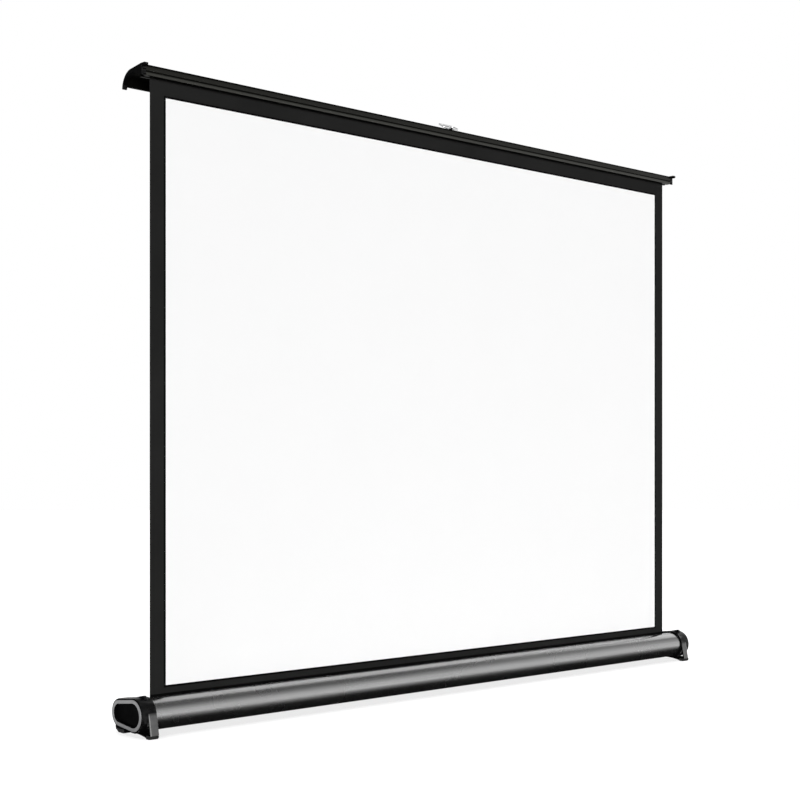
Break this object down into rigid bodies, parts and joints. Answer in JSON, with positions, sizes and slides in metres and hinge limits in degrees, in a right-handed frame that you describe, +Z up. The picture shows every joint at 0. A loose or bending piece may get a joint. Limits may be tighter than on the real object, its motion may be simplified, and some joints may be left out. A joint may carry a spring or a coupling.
{
  "type": "tabletop projector screen",
  "caption": "Free-standing table-top projection screen: a long tubular housing on moulded feet, a white cloth drawn up from its spring roller, and a lid that geared folding arms hold up.",
  "frame": {"origin": "Middle of the footprint at table level, under the middle of the screen.", "axes": "+X runs along the housing to the viewer's right as the viewer faces the white side, +Y from the white side to the back, +Z up."},
  "size_m": [1.1262, 0.0848, 0.8682],
  "materials": {
    "silver_aluminium": "satin silver anodised extrusion",
    "black_aluminium": "satin black anodised extrusion",
    "black_plastic": "glossy moulded black plastic",
    "grey_trim": "satin grey trim ring",
    "black_steel": "black coated steel",
    "zinc_steel": "bright zinc plated steel",
    "chrome_wire": "chromed wire",
    "rubber": "black rubber",
    "screen_cloth": "matte white coated projection cloth with a black printed border"
  },
  "bodies": {
    "base": {"housing_extrusion": "silver_aluminium", "end_cap_left": "black_plastic", "end_cap_right": "black_plastic", "cap_ring_left": "grey_trim", "cap_ring_right": "grey_trim", "cap_plate_left": "black_plastic", "cap_plate_right": "black_plastic", "cap_screw_upper_left": "zinc_steel", "cap_screw_upper_right": "zinc_steel", "cap_screw_lower_left": "zinc_steel", "cap_screw_lower_right": "zinc_steel", "toe_pad_left": "rubber", "toe_pad_right": "rubber", "heel_pad_left": "rubber", "heel_pad_right": "rubber", "base_bracket": "black_steel", "bracket_screw_left_lower": "zinc_steel", "bracket_screw_left_upper": "zinc_steel", "bracket_screw_right_lower": "zinc_steel", "bracket_screw_right_upper": "zinc_steel", "base_pin_left": "zinc_steel", "base_pin_right": "zinc_steel", "spring_mandrel": "zinc_steel", "roller_gudgeon": "zinc_steel", "roller_spring": "black_steel", "screen_fabric": "screen_cloth"},
    "roller": {"roller_tube": "silver_aluminium", "fabric_wraps": "screen_cloth", "roller_plug_left": "black_plastic", "roller_plug_right": "black_plastic"},
    "right_lower_arm": {"lower_arm_right": "black_steel", "elbow_pin_right": "zinc_steel", "elbow_washer_right": "black_plastic"},
    "right_upper_arm": {"upper_arm_right": "black_steel"},
    "left_lower_arm": {"lower_arm_left": "black_steel", "elbow_pin_left": "zinc_steel", "elbow_washer_left": "black_plastic"},
    "left_upper_arm": {"upper_arm_left": "black_steel"},
    "lid": {"lid_extrusion": "black_aluminium", "lid_cap_left": "black_plastic", "lid_cap_right": "black_plastic", "keder_rod": "black_plastic", "top_bracket": "black_steel", "top_pin_left": "zinc_steel", "top_pin_right": "zinc_steel", "bracket_rivet_left": "zinc_steel", "bracket_rivet_right": "zinc_steel", "ring_lug": "black_plastic", "lug_rivet_left": "zinc_steel", "lug_rivet_right": "zinc_steel"},
    "pull_ring": {"pull_ring": "chrome_wire"}
  },
  "joints": [
    {"name": "lift", "type": "hinge", "parent": "base", "child": "right_lower_arm", "pos_m": [0.012, 0.01265, 0.029], "axis": [0, 1, 0], "range_deg": [0, 56.48], "deforming": ["screen_fabric"]},
    {"name": "right_elbow", "type": "hinge", "parent": "right_lower_arm", "child": "right_upper_arm", "pos_m": [0.27202, 0.0167, 0.43247], "axis": [0, 1, 0], "range_deg": [-112.96, 0]},
    {"name": "lid_pivot", "type": "hinge", "parent": "right_upper_arm", "child": "lid", "pos_m": [0.012, 0.02075, 0.83594], "axis": [0, 1, 0], "range_deg": [0, 56.48]},
    {"name": "left_base_pivot", "type": "hinge", "parent": "base", "child": "left_lower_arm", "pos_m": [-0.012, 0.01265, 0.029], "axis": [0, 1, 0], "range_deg": [-56.48, 0]},
    {"name": "left_elbow", "type": "hinge", "parent": "left_lower_arm", "child": "left_upper_arm", "pos_m": [-0.27202, 0.0167, 0.43247], "axis": [0, 1, 0], "range_deg": [0, 112.96]},
    {"name": "roller_spin", "type": "hinge", "parent": "base", "child": "roller", "pos_m": [0, -0.0145, 0.0276], "axis": [1, 0, 0], "continuous": true},
    {"name": "ring_swing", "type": "hinge", "parent": "lid", "child": "pull_ring", "pos_m": [0.0025, -0.009, 0.86034], "axis": [1, 0, 0], "range_deg": [-20, 145]}
  ],
  "couplings": [
    {"joint": "right_elbow", "follows": "lift", "ratio": -2},
    {"joint": "lid_pivot", "follows": "lift", "ratio": 1},
    {"joint": "left_base_pivot", "follows": "lift", "ratio": -1},
    {"joint": "left_elbow", "follows": "lift", "ratio": 2}
  ]
}
